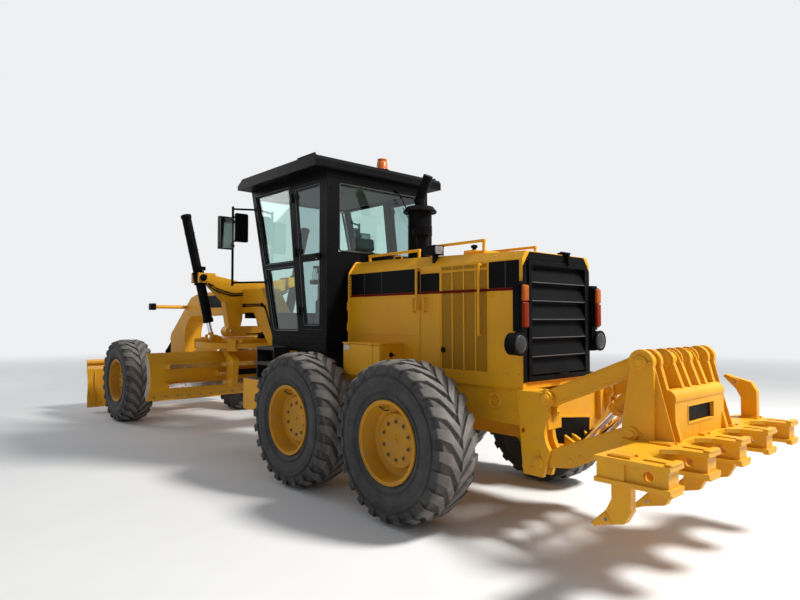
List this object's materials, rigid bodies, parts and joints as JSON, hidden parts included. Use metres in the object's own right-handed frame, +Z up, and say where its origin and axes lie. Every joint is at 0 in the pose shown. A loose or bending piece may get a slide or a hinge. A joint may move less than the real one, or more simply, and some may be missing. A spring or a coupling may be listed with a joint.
{
  "type": "motor grader",
  "caption": "Six-wheel articulated motor grader with a rear cab, a circle-mounted moldboard, a front dozer blade and a rear ripper with shanks.",
  "frame": {"origin": "middle of the machine's length and width, on the ground under the wheels", "axes": "+X forward, +Y to the machine's left, +Z up"},
  "size_m": [10.586, 3.2, 3.5498],
  "materials": {
    "black_paint": "satin",
    "bright_rod": "polished",
    "dark_plastic": "matte",
    "engine_iron": "matte",
    "lamp_lens": "gloss",
    "rim_yellow": "semi-gloss",
    "seat_fabric": "matte",
    "tinted_glass": "clear",
    "tyre_rubber": "matte",
    "yellow_paint": "semi-gloss"
  },
  "bodies": {
    "rear_frame": {"rear_frame": "yellow_paint", "tandem_drive": "yellow_paint", "engine": "engine_iron", "hood": "yellow_paint", "side_grilles": "yellow_paint", "rear_grille": "black_paint", "engine_stacks": "black_paint", "side_boxes": "yellow_paint", "access_steps": "yellow_paint", "hood_rails": "yellow_paint", "lamps": "black_paint", "beacon": "lamp_lens", "cab_base": "black_paint", "cab_rear_wall": "black_paint", "cab_side_left": "black_paint", "cab_side_right": "black_paint", "cab_front": "black_paint", "cab_roof": "black_paint", "cab_glass": "tinted_glass", "seat": "seat_fabric", "controls": "dark_plastic", "mirrors": "black_paint"},
    "door_left": {"door_left": "black_paint", "door_left_glass": "tinted_glass"},
    "door_right": {"door_right": "black_paint", "door_right_glass": "tinted_glass"},
    "wheel_tandem_front_left": {"tyre_tandem_front_left": "tyre_rubber", "rim_tandem_front_left": "rim_yellow"},
    "wheel_tandem_front_right": {"tyre_tandem_front_right": "tyre_rubber", "rim_tandem_front_right": "rim_yellow"},
    "wheel_tandem_rear_left": {"tyre_tandem_rear_left": "tyre_rubber", "rim_tandem_rear_left": "rim_yellow"},
    "wheel_tandem_rear_right": {"tyre_tandem_rear_right": "tyre_rubber", "rim_tandem_rear_right": "rim_yellow"},
    "wheel_steer_left": {"tyre_steer_left": "tyre_rubber", "rim_steer_left": "rim_yellow"},
    "wheel_steer_right": {"tyre_steer_right": "tyre_rubber", "rim_steer_right": "rim_yellow"},
    "front_frame": {"front_frame": "yellow_paint", "lift_arms": "yellow_paint", "head_lamps": "yellow_paint", "front_axle": "yellow_paint"},
    "knuckle_left": {"knuckle_left": "yellow_paint"},
    "knuckle_right": {"knuckle_right": "yellow_paint"},
    "tie_rod": {"tie_rod": "yellow_paint"},
    "drawbar": {"drawbar": "yellow_paint"},
    "circle": {"circle": "yellow_paint"},
    "moldboard": {"moldboard": "yellow_paint"},
    "lift_barrel_left": {"lift_barrel_left": "black_paint"},
    "lift_barrel_right": {"lift_barrel_right": "black_paint"},
    "lift_rod_left": {"lift_rod_left": "bright_rod"},
    "lift_rod_right": {"lift_rod_right": "bright_rod"},
    "dozer_blade": {"dozer_blade": "yellow_paint"},
    "dozer_barrel": {"dozer_barrel": "black_paint"},
    "dozer_rod": {"dozer_rod": "bright_rod"},
    "ripper_lower_link": {"ripper_lower_link": "yellow_paint"},
    "ripper_upper_links": {"ripper_upper_links": "yellow_paint"},
    "ripper_beam": {"ripper_beam": "yellow_paint"},
    "ripper_barrels": {"ripper_barrels": "yellow_paint"},
    "ripper_rods": {"ripper_rods": "bright_rod"}
  },
  "joints": [
    {"name": "articulation", "type": "hinge", "parent": "rear_frame", "child": "front_frame", "pos_m": [0.067, 0, 0.975], "axis": [0, 0, 1], "range_deg": [-20, 20]},
    {"name": "steer_left", "type": "hinge", "parent": "front_frame", "child": "knuckle_left", "pos_m": [3.853, 0.8, 0.675], "axis": [0, 0, 1], "range_deg": [-45, 45]},
    {"name": "steer_right", "type": "hinge", "parent": "front_frame", "child": "knuckle_right", "pos_m": [3.853, -0.8, 0.675], "axis": [0, 0, 1], "range_deg": [-45, 45]},
    {"name": "tie_rod_turn", "type": "hinge", "parent": "knuckle_left", "child": "tie_rod", "pos_m": [3.623, 0.8, 0.483], "axis": [0, 0, 1], "range_deg": [-45, 45]},
    {"name": "spin_tandem_front_left", "type": "hinge", "parent": "rear_frame", "child": "wheel_tandem_front_left", "pos_m": [-1.4715, 1.0325, 0.675], "axis": [0, 1, 0], "continuous": true},
    {"name": "spin_tandem_front_right", "type": "hinge", "parent": "rear_frame", "child": "wheel_tandem_front_right", "pos_m": [-1.4715, -1.0325, 0.675], "axis": [0, 1, 0], "continuous": true},
    {"name": "spin_tandem_rear_left", "type": "hinge", "parent": "rear_frame", "child": "wheel_tandem_rear_left", "pos_m": [-2.9945, 1.0325, 0.675], "axis": [0, 1, 0], "continuous": true},
    {"name": "spin_tandem_rear_right", "type": "hinge", "parent": "rear_frame", "child": "wheel_tandem_rear_right", "pos_m": [-2.9945, -1.0325, 0.675], "axis": [0, 1, 0], "continuous": true},
    {"name": "spin_steer_left", "type": "hinge", "parent": "knuckle_left", "child": "wheel_steer_left", "pos_m": [3.853, 1.0325, 0.675], "axis": [0, 1, 0], "continuous": true},
    {"name": "spin_steer_right", "type": "hinge", "parent": "knuckle_right", "child": "wheel_steer_right", "pos_m": [3.853, -1.0325, 0.675], "axis": [0, 1, 0], "continuous": true},
    {"name": "door_left_open", "type": "hinge", "parent": "rear_frame", "child": "door_left", "pos_m": [-0.89497, 0.765, 2.4], "axis": [-0.131, 0, -0.9914], "range_deg": [0, 80]},
    {"name": "door_right_open", "type": "hinge", "parent": "rear_frame", "child": "door_right", "pos_m": [-0.89497, -0.765, 2.4], "axis": [0.131, 0, 0.9914], "range_deg": [0, 80]},
    {"name": "drawbar_lift", "type": "hinge", "parent": "front_frame", "child": "drawbar", "pos_m": [3.591, 0, 1], "axis": [0, 1, 0], "range_deg": [-16, 0]},
    {"name": "lift_barrel_left_swing", "type": "hinge", "parent": "front_frame", "child": "lift_barrel_left", "pos_m": [1.617, 0.8, 2.28], "axis": [1, 0, 0], "range_deg": [-1, 6]},
    {"name": "lift_rod_left_slide", "type": "slide", "parent": "lift_barrel_left", "child": "lift_rod_left", "axis": [0, -0.2265, -0.974], "range_m": [-0.005, 0.545]},
    {"name": "lift_barrel_right_swing", "type": "hinge", "parent": "front_frame", "child": "lift_barrel_right", "pos_m": [1.617, -0.8, 2.28], "axis": [-1, 0, 0], "range_deg": [-1, 6]},
    {"name": "lift_rod_right_slide", "type": "slide", "parent": "lift_barrel_right", "child": "lift_rod_right", "axis": [0, 0.2265, -0.974], "range_m": [-0.005, 0.545]},
    {"name": "circle_turn", "type": "hinge", "parent": "drawbar", "child": "circle", "pos_m": [1.617, 0, 1.312], "axis": [0, 0, 1], "range_deg": [-35, 35]},
    {"name": "blade_side_shift", "type": "slide", "parent": "circle", "child": "moldboard", "axis": [0, 1, 0], "range_m": [-0.3, 0.3]},
    {"name": "dozer_lift", "type": "hinge", "parent": "front_frame", "child": "dozer_blade", "pos_m": [4.427, 0, 0.76], "axis": [0, 1, 0], "range_deg": [-22, 12]},
    {"name": "dozer_barrel_swing", "type": "hinge", "parent": "front_frame", "child": "dozer_barrel", "pos_m": [4.447, 0, 1.33], "axis": [0, 1, 0], "range_deg": [-14, 9]},
    {"name": "dozer_rod_slide", "type": "slide", "parent": "dozer_barrel", "child": "dozer_rod", "axis": [0.7983, 0, -0.6022], "range_m": [-0.2, 0.12]},
    {"name": "ripper_lift", "type": "hinge", "parent": "rear_frame", "child": "ripper_lower_link", "pos_m": [-3.998, 0, 0.585], "axis": [0, 1, 0], "range_deg": [-40, 2]},
    {"name": "ripper_upper_swing", "type": "hinge", "parent": "rear_frame", "child": "ripper_upper_links", "pos_m": [-4.063, 0, 1.07], "axis": [0, 1, 0], "range_deg": [-42, 4]},
    {"name": "ripper_beam_level", "type": "hinge", "parent": "ripper_lower_link", "child": "ripper_beam", "pos_m": [-4.75834, 0, 0.90774], "axis": [0, 1, 0], "range_deg": [-4, 42]},
    {"name": "ripper_rods_swing", "type": "hinge", "parent": "rear_frame", "child": "ripper_rods", "pos_m": [-4.093, 0, 0.65], "axis": [0, 1, 0], "range_deg": [-34, 4]},
    {"name": "ripper_barrels_slide", "type": "slide", "parent": "ripper_rods", "child": "ripper_barrels", "axis": [-0.7011, 0, 0.713], "range_m": [-0.27, 0.03]}
  ],
  "couplings": [
    {"joint": "steer_right", "follows": "steer_left", "ratio": 1},
    {"joint": "tie_rod_turn", "follows": "steer_left", "ratio": -1},
    {"joint": "lift_barrel_left_swing", "follows": "drawbar_lift", "ratio": -0.334},
    {"joint": "lift_rod_left_slide", "follows": "drawbar_lift", "m_per_rad": -1.924},
    {"joint": "lift_barrel_right_swing", "follows": "drawbar_lift", "ratio": -0.334},
    {"joint": "lift_rod_right_slide", "follows": "drawbar_lift", "m_per_rad": -1.924},
    {"joint": "dozer_barrel_swing", "follows": "dozer_lift", "ratio": 0.55},
    {"joint": "dozer_rod_slide", "follows": "dozer_lift", "m_per_rad": 0.48},
    {"joint": "ripper_upper_swing", "follows": "ripper_lift", "ratio": 1},
    {"joint": "ripper_beam_level", "follows": "ripper_lift", "ratio": -1},
    {"joint": "ripper_rods_swing", "follows": "ripper_lift", "ratio": 0.79},
    {"joint": "ripper_barrels_slide", "follows": "ripper_lift", "m_per_rad": 0.363}
  ]
}
